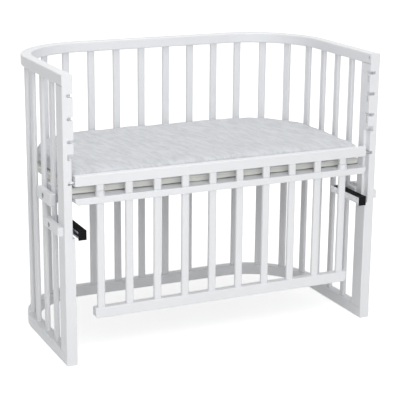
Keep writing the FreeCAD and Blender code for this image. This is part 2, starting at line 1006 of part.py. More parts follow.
round_edges(
    stepped, feature, edge, lambda item: item.BoundBox.XMax < 1 - bar_outer.number
)
put(stepped, 0, 0, bar_outer_z)
bar_outer_left = keep(
    cut("bar_clamp_outer_left", stepped, [fused("bar_bore", [bar_recess, bar_screw])]),
    "bar_clamp_outer_left",
)
keep(mirrored("bar_clamp_outer_right", bar_outer_left), "bar_clamp_outer_right")
keep(bar_screw, "bar_clamp_screw_left")
keep(mirrored("bar_clamp_screw_right", bar_screw), "bar_clamp_screw_right")

# Inner block with a T-shaped runner that the slide bar's channel rides on.
bar_width = size("bar_width")
bar_wall = size("bar_wall")
bar_gap = size("bar_gap")
bar_slot = size("bar_slot")
bar_z = bar_outer_z - size("bar_drop")
bar_middle = bar_z + size("bar_height") / 2
inner_side = slat_inner_face - size("bar_inner_thickness")
bar_side = inner_side - bar_gap
inner_front = post_depth + size("bar_inner_gap")
inner = block(
    "bar_inner_blank",
    (-slat_inner_face, inner_front),
    (-inner_side, bar_back),
    bar_outer_z - size("bar_inner_skirt"),
    size("bar_outer_height") + size("bar_inner_skirt"),
)
neck_height = bar_slot - bar_gap
head_height = size("bar_height") - bar_wall * 2 - bar_gap * 4
neck_end = bar_side - bar_wall - bar_gap
neck = box(
    "runner_neck",
    (-inner_side - edge, inner_front + edge, bar_middle - neck_height / 2),
    (inner_side + edge - neck_end, bar_back - inner_front - edge * 2, neck_height),
)
head = box(
    "runner_head",
    (-neck_end, inner_front + edge, bar_middle - head_height / 2),
    (bar_wall * 2, bar_back - inner_front - edge * 2, head_height),
)
whole = fused("bar_inner_runner", [inner, neck, head])
bar_inner_left = keep(cut("bar_clamp_inner_left", whole, [bar_screw]), "bar_clamp_inner_left")
keep(mirrored("bar_clamp_inner_right", bar_inner_left), "bar_clamp_inner_right")

# Slide bars: an open steel channel with a black cover that turns down over its front end.
channel = doc.addObject("PartDesign::Body", "slide_bar_channel")
sketch = new_sketch(channel, "slide_bar_section", "XZ_Plane")
bar_top = bar_z + size("bar_height")
slot_low = bar_middle - bar_slot / 2
slot_high = bar_middle + bar_slot / 2
outline(
    sketch,
    [
        ("line", (-bar_side, bar_z), None),
        ("line", (bar_width - bar_side, bar_z), None),
        ("line", (bar_width - bar_side, bar_top), None),
        ("line", (-bar_side, bar_top), None),
        ("line", (-bar_side, slot_high), None),
        ("line", (bar_wall - bar_side, slot_high), None),
        ("line", (bar_wall - bar_side, bar_top - bar_wall), None),
        ("line", (bar_width - bar_wall - bar_side, bar_top - bar_wall), None),
        ("line", (bar_width - bar_wall - bar_side, bar_z + bar_wall), None),
        ("line", (bar_wall - bar_side, bar_z + bar_wall), None),
        ("line", (bar_wall - bar_side, slot_low), None),
        ("line", (-bar_side, slot_low), None),
    ],
)
feature = pad(channel, sketch, size("bar_length"))
feature.Reversed = True
put(channel, 0, bar_start, 0)
doc.recompute()
keep(channel, "slide_bar_left")
keep(mirrored("slide_bar_right", channel), "slide_bar_right")

cover_thickness = size("cover_thickness")
cover = doc.addObject("PartDesign::Body", "bar_cover")
sketch = new_sketch(cover, "bar_cover_side", "YZ_Plane")
cover_top = bar_top + cover_thickness
plate_foot = cover_top - size("hook_plate_height")
cover_length = size("bar_length") - size("cover_setback")
outline(
    sketch,
    [
        ("line", (-cover_thickness, cover_top), None),
        ("line", (-cover_thickness, plate_foot), None),
        ("line", (ZERO, plate_foot), None),
        ("line", (ZERO, bar_top), None),
        ("line", (cover_length, bar_top), None),
        ("line", (cover_length, cover_top), None),
    ],
)
pad(cover, sketch, bar_width)
put(cover, -bar_side, bar_start, 0)
doc.recompute()
keep(cover, "bar_cover_left")
keep(mirrored("bar_cover_right", cover), "bar_cover_right")

doc.recompute()
for item in doc.Objects:
    if "Invalid" in item.State or "Error" in item.State:
        raise RuntimeError("failed object: " + item.Label)
for item in kept:
    if item.Shape.isNull() or not item.Shape.isValid():
        raise RuntimeError("bad shape: " + item.Label)

os.makedirs("parts", exist_ok=True)
for item in kept:
    item.Shape.exportStep(os.path.join("parts", item.Label + ".step"))
print("pieces:", len(kept), "solids:", sum(len(item.Shape.Solids) for item in kept))
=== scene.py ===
"""Bedside sleeper crib: the finishes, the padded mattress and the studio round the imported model."""

import math

import bmesh
import bpy
from mathutils import Matrix, Vector, noise


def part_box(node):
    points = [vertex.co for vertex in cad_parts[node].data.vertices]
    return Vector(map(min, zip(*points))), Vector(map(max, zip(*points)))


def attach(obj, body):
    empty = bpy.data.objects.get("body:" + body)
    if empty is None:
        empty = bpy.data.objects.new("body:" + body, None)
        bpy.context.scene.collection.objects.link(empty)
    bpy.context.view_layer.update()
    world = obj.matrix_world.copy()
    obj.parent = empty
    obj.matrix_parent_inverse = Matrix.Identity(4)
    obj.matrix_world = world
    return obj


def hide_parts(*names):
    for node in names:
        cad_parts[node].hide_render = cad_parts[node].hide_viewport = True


bl_info = {
    "name": "Bedside crib finishes",
    "version": (1, 0, 0),
    "blender": (4, 5, 0),
    "location": "View3D > Sidebar > Crib",
    "description": "Finishes, mattress and studio for a bedside crib",
    "category": "Object",
}

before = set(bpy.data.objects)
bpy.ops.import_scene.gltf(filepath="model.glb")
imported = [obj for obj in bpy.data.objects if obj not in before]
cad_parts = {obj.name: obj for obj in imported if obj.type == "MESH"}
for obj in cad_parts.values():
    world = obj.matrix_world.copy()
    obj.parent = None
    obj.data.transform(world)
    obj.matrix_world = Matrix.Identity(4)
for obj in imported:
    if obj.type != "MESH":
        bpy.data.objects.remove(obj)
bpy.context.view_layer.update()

ZINC = (0.62, 0.63, 0.65)
SCREW_DARK = (0.022, 0.022, 0.024)
SCREW_RUBBED = (0.11, 0.11, 0.115)
BEECH_DARK = (0.42, 0.25, 0.13)
BEECH_LIGHT = (0.60, 0.40, 0.24)
FLOOR_GREY = 0.86

# Painted shade: colour and height of the dark band along the base panel's underside, where it meets
# the beam.
PAINTED_SHADE_COLOUR = (0.10, 0.10, 0.09)
PAINTED_SHADE_HEIGHT = 0.0022

HEAD_RADIUS = 0.0070
HEAD_HEIGHT = 0.0055
HEAD_ROUNDING = HEAD_HEIGHT * 0.16
SOCKET_RADIUS = 0.0032
SOCKET_DEPTH = 0.0036
SHANK_RADIUS = 0.0038
SHANK_START = 0.0050
TIP_BEVEL = 0.0012

INFLATE_FRAMES = 16
CLOTH_QUALITY = 3
CLOTH_PRESSURE = 4.0
CLOTH_STRETCH = 12.0
CLOTH_BEND = 1.5
UNDERSIDE_GAP = 0.0003

STAGE_MIDDLE = (0.0, 0.0, 0.45)
FLOOR_HALF = 30.0
LIFT_START = 0.7
LIFT_END = 2.6


# ---------------------------------------------------------------- settings


class CribFinishSettings(bpy.types.PropertyGroup):
    """Colours and gloss of the crib's surfaces."""

    lacquer: bpy.props.FloatVectorProperty(
        name="Lacquer",
        description="White lacquer of all the wooden parts",
        subtype="COLOR",
        size=3,
        min=0.0,
        max=1.0,
        default=(0.84, 0.85, 0.87),
    )
    lacquer_roughness: bpy.props.FloatProperty(
        name="Lacquer roughness",
        description="How dull the lacquer is",
        subtype="FACTOR",
        min=0.05,
        max=1.0,
        default=0.42,
    )
    board_edge: bpy.props.FloatVectorProperty(
        name="Board edge",
        description="Cream edge of the board under the mattress",
        subtype="COLOR",
        size=3,
        min=0.0,
        max=1.0,
        default=(0.90, 0.90, 0.85),
    )
    cover_light: bpy.props.FloatVectorProperty(
        name="Cover, light",
        description="Light tone of the mattress cover",
        subtype="COLOR",
        size=3,
        min=0.0,
        max=1.0,
        default=(0.68, 0.695, 0.725),
    )
    cover_dark: bpy.props.FloatVectorProperty(
        name="Cover, dark",
        description="Dark tone between the tufts of the mattress cover",
        subtype="COLOR",
        size=3,
        min=0.0,
        max=1.0,
        default=(0.56, 0.575, 0.60),
    )
    steel: bpy.props.FloatVectorProperty(
        name="Steel",
        description="Galvanised steel of the slide bars",
        subtype="COLOR",
        size=3,
        min=0.0,
        max=1.0,
        default=(0.70, 0.715, 0.73),
    )
    strip: bpy.props.FloatVectorProperty(
        name="Black strip",
        description="Black cover of the slide bars",
        subtype="COLOR",
        size=3,
        min=0.0,
        max=1.0,
        default=(0.003, 0.003, 0.0035),
    )


class CribMattressSettings(bpy.types.PropertyGroup):
    """Sizes of the padded mattress."""

    voxel: bpy.props.FloatProperty(
        name="Voxel",
        description="Mesh size of the cover before it is inflated",
        subtype="DISTANCE",
        unit="LENGTH",
        default=0.008,
    )
    shrink: bpy.props.FloatProperty(
        name="Shrink",
        description="How much smaller the cover is before it is inflated",
        subtype="DISTANCE",
        unit="LENGTH",
        default=0.0015,
    )
    loft: bpy.props.FloatProperty(
        name="Loft",
        description="How far the soft top stands above the solid",
        subtype="DISTANCE",
        unit="LENGTH",
        default=0.005,
    )
    swell: bpy.props.FloatProperty(
        name="Swell",
        description="Furthest that a point of the cover may move as it is inflated",
        subtype="DISTANCE",
        unit="LENGTH",
        default=0.002,
    )
    ripple: bpy.props.FloatProperty(
        name="Ripple",
        description="Height of the soft ripples in the cover",
        subtype="DISTANCE",
        unit="LENGTH",
        default=0.0024,
    )


class CribStageSettings(bpy.types.PropertyGroup):
    """Camera and light of the studio."""

    camera: bpy.props.FloatVectorProperty(
        name="Camera",
        description="Where the camera stands",
        subtype="TRANSLATION",
        unit="LENGTH",
        size=3,
        default=(-1.49636, -3.2858, 1.34765),
    )
    heading: bpy.props.FloatProperty(
        name="Heading",
        description="Turn of the camera to the right of straight ahead",
        subtype="ANGLE",
        unit="ROTATION",
        default=0.4371,
    )
    tilt: bpy.props.FloatProperty(
        name="Tilt",
        description="How far the camera looks down",
        subtype="ANGLE",
        unit="ROTATION",
        default=0.2707,
    )
    roll: bpy.props.FloatProperty(
        name="Roll",
        description="Turn of the camera about its own axis",
        subtype="ANGLE",
        unit="ROTATION",
        default=0.0089,
    )
    lens: bpy.props.FloatProperty(
        name="Lens",
        description="Focal length in millimetres on a sensor 36 mm wide",
        default=114.76,
    )
    key: bpy.props.FloatProperty(
        name="Front light",
        description="Power of the large soft light in front of the crib",
        unit="POWER",
        default=40.0,
    )
    overhead: bpy.props.FloatProperty(
        name="Overhead light",
        description="Power of the soft light above the crib",
        unit="POWER",
        default=46.0,
    )
    side: bpy.props.FloatProperty(
        name="Side light",
        description="Power of the soft light in front at the left",
        unit="POWER",
        default=22.0,
    )
    ambient: bpy.props.FloatProperty(
        name="Ambient light",
        description="Strength of the even light from all round",
        min=0.0,
        default=0.38,
    )
    floor_lift: bpy.props.FloatProperty(
        name="Floor lift",
        description="How much brighter than it is lit the floor by the crib is seen",
        min=0.0,
        default=0.58,
    )
    far_lift: bpy.props.FloatProperty(
        name="Far floor lift",
        description="How much brighter than it is lit the floor behind the crib is seen",
        min=0.0,
        default=0.80,
    )


# ---------------------------------------------------------------- finishes


def new_finish(name):
    """Return a new material with its node tree and main shader."""
    finish = bpy.data.materials.new(name)
    finish.use_nodes = True
    tree = finish.node_tree
    return finish, tree, tree.nodes["Principled BSDF"]


def object_mapping(tree, scale, turn=0.0):
    """Return the object's own coordinates, turned about Z and then stretched."""
    coordinates = tree.nodes.new("ShaderNodeTexCoord")
    turned = tree.nodes.new("ShaderNodeMapping")
    turned.inputs["Rotation"].default_value = (0.0, 0.0, turn)
    stretched = tree.nodes.new("ShaderNodeMapping")
    stretched.inputs["Scale"].default_value = scale
    tree.links.new(coordinates.outputs["Object"], turned.inputs["Vector"])
    tree.links.new(turned.outputs["Vector"], stretched.inputs["Vector"])
    return stretched.outputs["Vector"]


def speckle(tree, vector, scale, detail=2.0, roughness=0.5, distortion=0.0):
    """Return the value of a noise pattern."""
    pattern = tree.nodes.new("ShaderNodeTexNoise")
    pattern.inputs["Scale"].default_value = scale
    pattern.inputs["Detail"].default_value = detail
    pattern.inputs["Roughness"].default_value = roughness
    pattern.inputs["Distortion"].default_value = distortion
    tree.links.new(vector, pattern.inputs["Vector"])
    return pattern.outputs["Fac"]


def remap(tree, value, low, high, to_low, to_high):
    """Return a value moved from one span to another, held within it."""
    node = tree.nodes.new("ShaderNodeMapRange")
    node.inputs["From Min"].default_value = low
    node.inputs["From Max"].default_value = high
    node.inputs["To Min"].default_value = to_low
    node.inputs["To Max"].default_value = to_high
    tree.links.new(value, node.inputs["Value"])
    return node.outputs["Result"]


def tint(tree, value, dark, light, start=0.35, end=0.65):
    """Return a colour between two tones by a value."""
    ramp = tree.nodes.new("ShaderNodeValToRGB")
    ramp.color_ramp.elements[0].position = start
    ramp.color_ramp.elements[0].color = (*dark, 1.0)
    ramp.color_ramp.elements[1].position = end
    ramp.color_ramp.elements[1].color = (*light, 1.0)
    tree.links.new(value, ramp.inputs["Fac"])
    return ramp.outputs["Color"]


def toward(tree, share, colour, other):
    """Return a colour carried toward another one by a share."""
    mix = tree.nodes.new("ShaderNodeMix")
    mix.data_type = "RGBA"
    inputs = {socket.identifier: socket for socket in mix.inputs}
    outputs = {socket.identifier: socket for socket in mix.outputs}
    inputs["B_Color"].default_value = (*other, 1.0)
    tree.links.new(share, inputs["Factor_Float"])
    tree.links.new(colour, inputs["A_Color"])
    return outputs["Result_Color"]


def relief(tree, height, distance, strength=1.0, under=None):
    """Return a normal raised by a height, on top of another relief if one is given."""
    bump = tree.nodes.new("ShaderNodeBump")
    bump.inputs["Distance"].default_value = distance
    bump.inputs["Strength"].default_value = strength
    tree.links.new(height, bump.inputs["Height"])
    if under is not None:
        tree.links.new(under, bump.inputs["Normal"])
    return bump.outputs["Normal"]


def shaded(colour, share):
    """Return a colour made darker by a share."""
    return tuple(channel * share for channel in colour)


def lacquer_finish(name, grain, colour, roughness):
    """White lacquer on wood: soft grain along one axis and a fine spray texture."""
    finish, tree, shader = new_finish(name)
    across, along = 620.0, 22.0
    pores = speckle(
        tree,
        object_mapping(tree, [along if axis == grain else across for axis in "XYZ"]),
        1.0,
        3.0,
        0.6,
    )
    spray = speckle(tree, object_mapping(tree, (1.0, 1.0, 1.0)), 420.0, 2.0, 0.5)
    cloud = speckle(tree, object_mapping(tree, (1.0, 1.0, 1.0)), 3.5, 3.0, 0.55)
    tone = tint(tree, cloud, shaded(colour, 0.965), colour, 0.3, 0.7)
    tree.links.new(tone, shader.inputs["Base Color"])
    dull = remap(tree, cloud, 0.3, 0.7, roughness - 0.05, roughness + 0.06)
    tree.links.new(dull, shader.inputs["Roughness"])
    grain_relief = relief(tree, pores, 0.00012, 0.5)
    spray_relief = relief(tree, spray, 0.00005, 0.5, grain_relief)
    tree.links.new(spray_relief, shader.inputs["Normal"])
    shader.inputs["Specular IOR Level"].default_value = 0.5
    shader.inputs["Coat Weight"].default_value = 0.18
    shader.inputs["Coat Roughness"].default_value = 0.25
    return finish


def board_finish(name, colour, painted_shade, underside, thickness):
    """Cream board with the thin layers of its edge, and painted shade: a dark band along its
    underside where it meets the beam.
    """
    finish, tree, shader = new_finish(name)
    layers = speckle(tree, object_mapping(tree, (3.0, 3.0, 260.0)), 1.0, 2.0, 0.5)
    fibres = speckle(tree, object_mapping(tree, (40.0, 40.0, 900.0)), 1.0, 3.0, 0.6)
    board = tint(tree, layers, shaded(colour, 0.93), colour, 0.35, 0.6)
    waver = speckle(tree, object_mapping(tree, (9.0, 9.0, 0.0)), 1.0, 2.0, 0.5)
    height = tree.nodes.new("ShaderNodeSeparateXYZ")
    tree.links.new(object_mapping(tree, (1.0, 1.0, 1.0)), height.inputs["Vector"])
    lowered = tree.nodes.new("ShaderNodeMath")
    lowered.operation = "MULTIPLY_ADD"
    lowered.inputs[1].default_value = -thickness
    tree.links.new(remap(tree, waver, 0.35, 0.65, 0.0, 1.0), lowered.inputs[0])
    tree.links.new(height.outputs["Z"], lowered.inputs[2])
    # Painted shade: the wavering bottom band of the panel is carried toward the dark colour, where
    # the panel meets the beam.
    edge = remap(tree, lowered.outputs["Value"], underside, underside + thickness, 1.0, 0.0)
    tree.links.new(toward(tree, edge, board, painted_shade), shader.inputs["Base Color"])
    tree.links.new(remap(tree, fibres, 0.3, 0.7, 0.5, 0.66), shader.inputs["Roughness"])
    tree.links.new(relief(tree, fibres, 0.00012, 0.6), shader.inputs["Normal"])
    return finish


def cover_finish(name, light, dark):
    """Soft knitted cover: tufts in streaks that run from front to back over a fine stitch."""
    finish, tree, shader = new_finish(name)
    slant = math.radians(-9.0)
    streaks = speckle(tree, object_mapping(tree, (62.0, 15.0, 60.0), slant), 1.0, 3.0, 0.55, 0.7)
    tufts = speckle(tree, object_mapping(tree, (240.0, 70.0, 200.0), slant), 1.0, 3.0, 0.6, 0.4)
    stitch = speckle(tree, object_mapping(tree, (1.0, 1.0, 1.0)), 1100.0, 2.0, 0.6)
    blend = tree.nodes.new("ShaderNodeMix")
    blend.data_type = "FLOAT"
    blend.inputs["Factor"].default_value = 0.3
    tree.links.new(streaks, blend.inputs["A"])
    tree.links.new(tufts, blend.inputs["B"])
    mixed = blend.outputs["Result"]
    tree.links.new(tint(tree, mixed, dark, light, 0.38, 0.6), shader.inputs["Base Color"])
    tree.links.new(remap(tree, stitch, 0.3, 0.7, 0.82, 0.97), shader.inputs["Roughness"])
    soft = relief(tree, mixed, 0.0020, 0.45)
    tree.links.new(relief(tree, stitch, 0.00035, 0.6, soft), shader.inputs["Normal"])
    shader.inputs["Specular IOR Level"].default_value = 0.2
    shader.inputs["Sheen Weight"].default_value = 0.25
    shader.inputs["Sheen Roughness"].default_value = 0.6
    return finish


def steel_finish(name, colour, roughness, spangle):
    """Zinc on steel: soft crystals and fine scratches along the bar."""
    finish, tree, shader = new_finish(name)
    crystals = tree.nodes.new("ShaderNodeTexVoronoi")
    crystals.inputs["Scale"].default_value = spangle
    tree.links.new(object_mapping(tree, (1.0, 1.0, 1.0)), crystals.inputs["Vector"])
    level = tree.nodes.new("ShaderNodeRGBToBW")
    tree.links.new(crystals.outputs["Color"], level.inputs["Color"])
    scratches = speckle(tree, object_mapping(tree, (1500.0, 25.0, 1500.0)), 1.0, 2.0, 0.6)
    tree.links.new(
        tint(tree, level.outputs["Val"], shaded(colour, 0.86), colour, 0.2, 0.8),
        shader.inputs["Base Color"],
    )
    tree.links.new(
        remap(tree, scratches, 0.3, 0.7, roughness - 0.07, roughness + 0.08),
        shader.inputs["Roughness"],
    )
    tree.links.new(relief(tree, scratches, 0.00004, 0.5), shader.inputs["Normal"])
    shader.inputs["Metallic"].default_value = 1.0
    return finish


def plastic_finish(name, colour, roughness, grain_scale, shine=0.5):
    """Moulded plastic with a fine moulded grain."""
    finish, tree, shader = new_finish(name)
    vector = object_mapping(tree, (1.0, 1.0, 1.0))
    grain = speckle(tree, vector, grain_scale, 2.0, 0.5)
    cloud = speckle(tree, vector, 30.0, 3.0, 0.5)
    tree.links.new(
        tint(tree, cloud, shaded(colour, 0.9), colour, 0.3, 0.7), shader.inputs["Base Color"]
    )
    tree.links.new(
        remap(tree, cloud, 0.3, 0.7, roughness - 0.05, roughness + 0.07), shader.inputs["Roughness"]
    )
    tree.links.new(relief(tree, grain, 0.00006, 0.6), shader.inputs["Normal"])
    shader.inputs["Specular IOR Level"].default_value = shine
    return finish


def dark_steel_finish(name):
    """Blackened steel of the screws, rubbed bright in places."""
    finish, tree, shader = new_finish(name)
    vector = object_mapping(tree, (1.0, 1.0, 1.0))
    rubbed = speckle(tree, vector, 180.0, 4.0, 0.65)
    tree.links.new(
        tint(tree, rubbed, SCREW_DARK, SCREW_RUBBED, 0.52, 0.8),
        shader.inputs["Base Color"],
    )
    tree.links.new(remap(tree, rubbed, 0.3, 0.7, 0.45, 0.3), shader.inputs["Roughness"])
    tree.links.new(relief(tree, rubbed, 0.00005, 0.5), shader.inputs["Normal"])
    shader.inputs["Metallic"].default_value = 0.85
    return finish


def beech_finish(name):
    """Bare beech of the dowels, with its small flecks."""
    finish, tree, shader = new_finish(name)
    flecks = speckle(tree, object_mapping(tree, (420.0, 420.0, 60.0)), 1.0, 4.0, 0.6)
    tree.links.new(
        tint(tree, flecks, BEECH_DARK, BEECH_LIGHT, 0.38, 0.6),
        shader.inputs["Base Color"],
    )
    tree.links.new(remap(tree, flecks, 0.3, 0.7, 0.55, 0.7), shader.inputs["Roughness"])
    tree.links.new(relief(tree, flecks, 0.0001, 0.6), shader.inputs["Normal"])
    return finish


def numbered(start):
    """Return the names of the CAD nodes that begin with a word, such as the slats."""
    return [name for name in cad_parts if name.startswith(start)]


def paint(names, finish):
    """Give CAD nodes a finish."""
    for name in names:
        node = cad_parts[name]
        node.data.materials.clear()
        node.data.materials.append(finish)


def new_piece(name, mesh, finish, body):
    """Return a finished piece that rides on a body."""
    piece = bpy.data.objects.new(name, mesh)
    bpy.context.collection.objects.link(piece)
    mesh.materials.clear()
    mesh.materials.append(finish)
    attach(piece, body)
    return piece


def smooth(mesh):
    """Shade a mesh smooth."""
    for polygon in mesh.polygons:
        polygon.use_smooth = True


# ---------------------------------------------------------------- wooden frame


class CRIB_OT_lacquered_wood(bpy.types.Operator):
    """Lacquer every wooden part, with the grain along it"""

    bl_idname = "crib.lacquered_wood"
    bl_label = "Lacquer the wood"

    def execute(self, context):
        settings = context.scene.crib_finish
        colour = tuple(settings.lacquer)
        dull = settings.lacquer_roughness
        upright = lacquer_finish("lacquer_upright", "Z", colour, dull)
        lengthwise = lacquer_finish("lacquer_lengthwise", "X", colour, dull)
        sideways = lacquer_finish("lacquer_sideways", "Y", colour, dull)
        paint(numbered("frame_slat_"), upright)
        paint(numbered("closing_slat_"), upright)
        paint(["front_post_left", "front_post_right"], upright)
        paint(["top_rail_back", "bottom_rail_back"], lengthwise)
        paint(["closing_rail_top", "closing_rail_bottom", "front_beam"], lengthwise)
        corners = [end + "_rail_" + side for end in ("top", "bottom") for side in ("left", "right")]
        paint(corners, sideways)
        paint(["base_clamp_outer", "base_clamp_inner"], sideways)
        for side in ("left", "right"):
            paint(["bar_clamp_outer_" + side, "bar_clamp_inner_" + side], sideways)
        return {"FINISHED"}


class CRIB_OT_base_board(bpy.types.Operator):
    """Finish the board under the mattress and the collars on the beam"""

    bl_idname = "crib.base_board"
    bl_label = "Finish the base board"

    def execute(self, context):
        settings = context.scene.crib_finish
        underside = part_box("base_panel")[0].z
        # The board's finish carries painted shade along its underside, where it meets the beam.
        board = board_finish(
            "cream_board", tuple(settings.board_edge), PAINTED_SHADE_COLOUR, underside, PAINTED_SHADE_HEIGHT
        )
        paint(["base_panel"], board)
        collar = plastic_finish("white_plastic", tuple(settings.lacquer), 0.4, 1400.0)
        paint(["slat_collars"], collar)
        return {"FINISHED"}


class CRIB_OT_slide_bars(bpy.types.Operator):
    """Finish the slide bars, their covers and the small steel parts"""

    bl_idname = "crib.slide_bars"
    bl_label = "Finish the slide bars"

    def execute(self, context):
        settings = context.scene.crib_finish
        steel = steel_finish("galvanised_steel", tuple(settings.steel), 0.36, 160.0)
        strip = plastic_finish("black_strip", tuple(settings.strip), 0.6, 1600.0, 0.12)
        zinc = steel_finish("zinc_plate", ZINC, 0.32, 420.0)
        paint(["slide_bar_left", "slide_bar_right"], steel)
        paint(["bar_cover_left", "bar_cover_right"], strip)
        paint(["rail_pins", "rail_cams"], zinc)
        paint(["frame_dowels"], beech_finish("bare_beech"))
        return {"FINISHED"}


# ---------------------------------------------------------------- screws


def rounded_head(builder):
    """Add a round screw head, its rim rounded, and return its vertices."""
    made = bmesh.ops.create_cone(
        builder,
        cap_ends=True,
        cap_tris=False,
        segments=48,
        radius1=HEAD_RADIUS,
        radius2=HEAD_RADIUS,
        depth=HEAD_HEIGHT,
        matrix=Matrix.Translation((0.0, 0.0, -HEAD_HEIGHT / 2)),
    )
    top = max(
        {face for vert in made["verts"] for face in vert.link_faces},
        key=lambda face: (face.normal.z > 0.9, face.calc_center_median().z),
    )
    bevelled = bmesh.ops.bevel(
        builder,
        geom=list(top.edges),
        offset=HEAD_ROUNDING,
        offset_type="OFFSET",
        segments=3,
        profile=0.5,
        affect="EDGES",
        material=-1,
        clamp_overlap=True,
    )
    verts = set(made["verts"]) | set(bevelled["verts"])
    return {vert for vert in verts if vert.is_valid}


def hexagon_socket(builder, head):
    """Sink a hexagon socket into the top of a head, and return its vertices."""
    faces = {face for vert in head for face in vert.link_faces}
    crown = max(faces, key=lambda face: (face.normal.z > 0.99, face.calc_area()))
    bmesh.ops.delete(builder, geom=[crown], context="FACES_ONLY")
    hexagon = bmesh.ops.create_circle(
        builder, cap_ends=False, segments=6, radius=SOCKET_RADIUS
    )["verts"]
    inner = list({edge for vert in hexagon for edge in vert.link_edges})
    outer = {
        edge
        for vert in head
        for edge in vert.link_edges
        if edge.is_boundary and all(abs(end.co.z) < 1e-7 for end in edge.verts)
    }
    bmesh.ops.triangle_fill(
        builder, use_beauty=True, use_dissolve=False, edges=inner + list(outer)
    )
    walls = bmesh.ops.extrude_edge_only(builder, edges=inner)["geom"]
    low = [item for item in walls if isinstance(item, bmesh.types.BMVert)]
    bmesh.ops.translate(builder, verts=low, vec=(0.0, 0.0, -SOCKET_DEPTH))
    bottom = [
        item
        for item in walls
        if isinstance(item, bmesh.types.BMEdge)
        and all(vert in low for vert in item.verts)
    ]
    bmesh.ops.contextual_create(builder, geom=bottom)
    return set(hexagon) | set(low)


def socket_screw(builder, face_x, outward, y, z):
    """Add a round screw head with a hexagon socket, its outer face square to X."""
    head = rounded_head(builder)
    socket = hexagon_socket(builder, head)
    turn = Matrix.Rotation(math.radians(90.0) * outward, 4, "Y")
    place = Matrix.Translation((face_x, y, z)) @ turn
    bmesh.ops.transform(builder, matrix=place, verts=list(head | socket))


def shank(builder, start, tip, y, z):
    """Add a shank along X with a bevelled tip."""
    along_x = Matrix.Rotation(math.radians(90.0), 4, "Y")
    made = bmesh.ops.create_cone(
        builder,
        cap_ends=True,
        segments=32,
        radius1=SHANK_RADIUS,
        radius2=SHANK_RADIUS,
        depth=abs(tip - start),
        matrix=Matrix.Translation(((start + tip) / 2, y, z)) @ along_x,
    )
    edges = {edge for vert in made["verts"] for edge in vert.link_edges}
    bmesh.ops.bevel(
        builder,
        geom=[edge for edge in edges if all(abs(vert.co.x - tip) < 1e-6 for vert in edge.verts)],
        offset=TIP_BEVEL,
        offset_type="OFFSET",
        segments=2,
        profile=0.5,
        affect="EDGES",
        material=-1,
    )


def screw_piece(name, node, screws, finish, body):
    """Return the piece that stands for screws: shanks and socket heads."""
    builder = bmesh.new()
    for face_x, outward, y, z, tip in screws:
        socket_screw(builder, face_x, outward, y, z)
        shank(builder, face_x - outward * SHANK_START, tip, y, z)
    bmesh.ops.recalc_face_normals(builder, faces=builder.faces)
    mesh = bpy.data.meshes.new(name)
    builder.to_mesh(mesh)
    builder.free()
    piece = new_piece(name, mesh, finish, body)
    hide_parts(node)
    return piece


class CRIB_OT_clamp_screws(bpy.types.Operator):
    """Make the socket screws of the clamp blocks"""

    bl_idname = "crib.clamp_screws"
    bl_label = "Make the clamp screws"

    def execute(self, context):
        finish = dark_steel_finish("blackened_steel")
        near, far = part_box("bar_clamp_screw_left")
        length = far.x - near.x
        low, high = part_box("base_clamp_screws")
        middle_y = (low.y + high.y) / 2
        middle_z = (low.z + high.z) / 2
        screws = [
            (low.x, -1, middle_y, middle_z, low.x + length),
            (high.x, 1, middle_y, middle_z, high.x - length),
        ]
        screw_piece("base_screws", "base_clamp_screws", screws, finish, "base")
        for side, outward in (("left", -1), ("right", 1)):
            node = "bar_clamp_screw_" + side
            low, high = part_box(node)
            outer, inner = (low.x, high.x) if outward < 0 else (high.x, low.x)
            screw = (outer, outward, (low.y + high.y) / 2, (low.z + high.z) / 2, inner)
            screw_piece("bar_screw_" + side, node, [screw], finish, "bar_mount_" + side)
        return {"FINISHED"}


# ---------------------------------------------------------------- mattress


def apply_modifiers(piece):
    """Apply what the modifiers of a piece make to its mesh."""
    graph = bpy.context.evaluated_depsgraph_get()
    result = bpy.data.meshes.new_from_object(piece.evaluated_get(graph))
    piece.modifiers.clear()
    piece.data = result


def remeshed(piece, voxel):
    """Rebuild the mesh of a piece as even quads."""
    modifier = piece.modifiers.new("even", "REMESH")
    modifier.mode = "VOXEL"
    modifier.voxel_size = voxel
    modifier.use_smooth_shade = True
    apply_modifiers(piece)


def inflate(piece, limit):
    """Inflate the cover a little as cloth under pressure, and hold each point within a limit."""
    before = [vert.co.copy() for vert in piece.data.vertices]
    cloth = piece.modifiers.new("pressure", "CLOTH")
    cloth.settings.quality = CLOTH_QUALITY
    cloth.settings.use_pressure = True
    cloth.settings.uniform_pressure_force = CLOTH_PRESSURE
    cloth.settings.effector_weights.gravity = 0.0
    cloth.settings.tension_stiffness = CLOTH_STRETCH
    cloth.settings.compression_stiffness = CLOTH_STRETCH
    cloth.settings.bending_stiffness = CLOTH_BEND
    cloth.point_cache.frame_start = 1
    cloth.point_cache.frame_end = INFLATE_FRAMES
    scene = bpy.context.scene
    for number in range(1, INFLATE_FRAMES + 1):
        scene.frame_set(number)
    apply_modifiers(piece)
    for vert, old in zip(piece.data.vertices, before):
        move = vert.co - old
        if move.length > limit:
            vert.co = old + move * (limit / move.length)
    scene.frame_set(1)


def ripples(mesh, low, high, height):
    """Raise soft uneven ripples on the cover, none on its flat underside."""
    normals = [vert.normal.copy() for vert in mesh.vertices]
    for vert, normal in zip(mesh.vertices, normals):
        place = vert.co.copy()
        share = min(max((place.z - low.z) / (high.z - low.z), 0.0), 1.0)
        wide = noise.noise(Vector((place.x * 11.0 + 3.1, place.y * 16.0, place.z * 9.0)))
        slant = place.x * 0.91 - place.y * 0.42, place.x * 0.42 + place.y * 0.91
        fine = noise.noise(Vector((slant[0] * 26.0, slant[1] * 62.0 + 7.7, place.z * 30.0)))
        vert.co = place + normal * (height * share * (wide + 0.55 * fine - 0.25))


